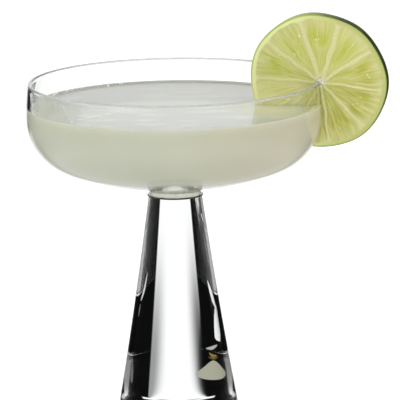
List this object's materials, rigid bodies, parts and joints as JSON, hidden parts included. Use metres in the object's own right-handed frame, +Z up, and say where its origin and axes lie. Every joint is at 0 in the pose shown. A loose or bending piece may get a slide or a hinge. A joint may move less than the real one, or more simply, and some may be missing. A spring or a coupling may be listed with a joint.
{
  "type": "daiquiri",
  "caption": "Cloudy pale daiquiri in a wide shallow coupe on a solid conical glass stem, with a lime wheel slotted over the rim.",
  "frame": {"origin": "middle of the flat underside of the stem's foot", "axes": "+Z up along the axis of the glass, +X towards the lime wheel on the rim, -Y towards the side from which the wheel's cut face is seen"},
  "size_m": [0.1228, 0.1, 0.1408],
  "materials": {
    "clear_glass": "polished clear soda-lime glass",
    "cloudy_drink": "cloudy pale green-grey liquid, wet and glossy",
    "fresh_lime": "wet cut lime flesh, pale pith and waxy green peel"
  },
  "bodies": {
    "root": {"glass": "clear_glass", "daiquiri": "cloudy_drink", "lime_wheel": "fresh_lime"}
  },
  "joints": []
}
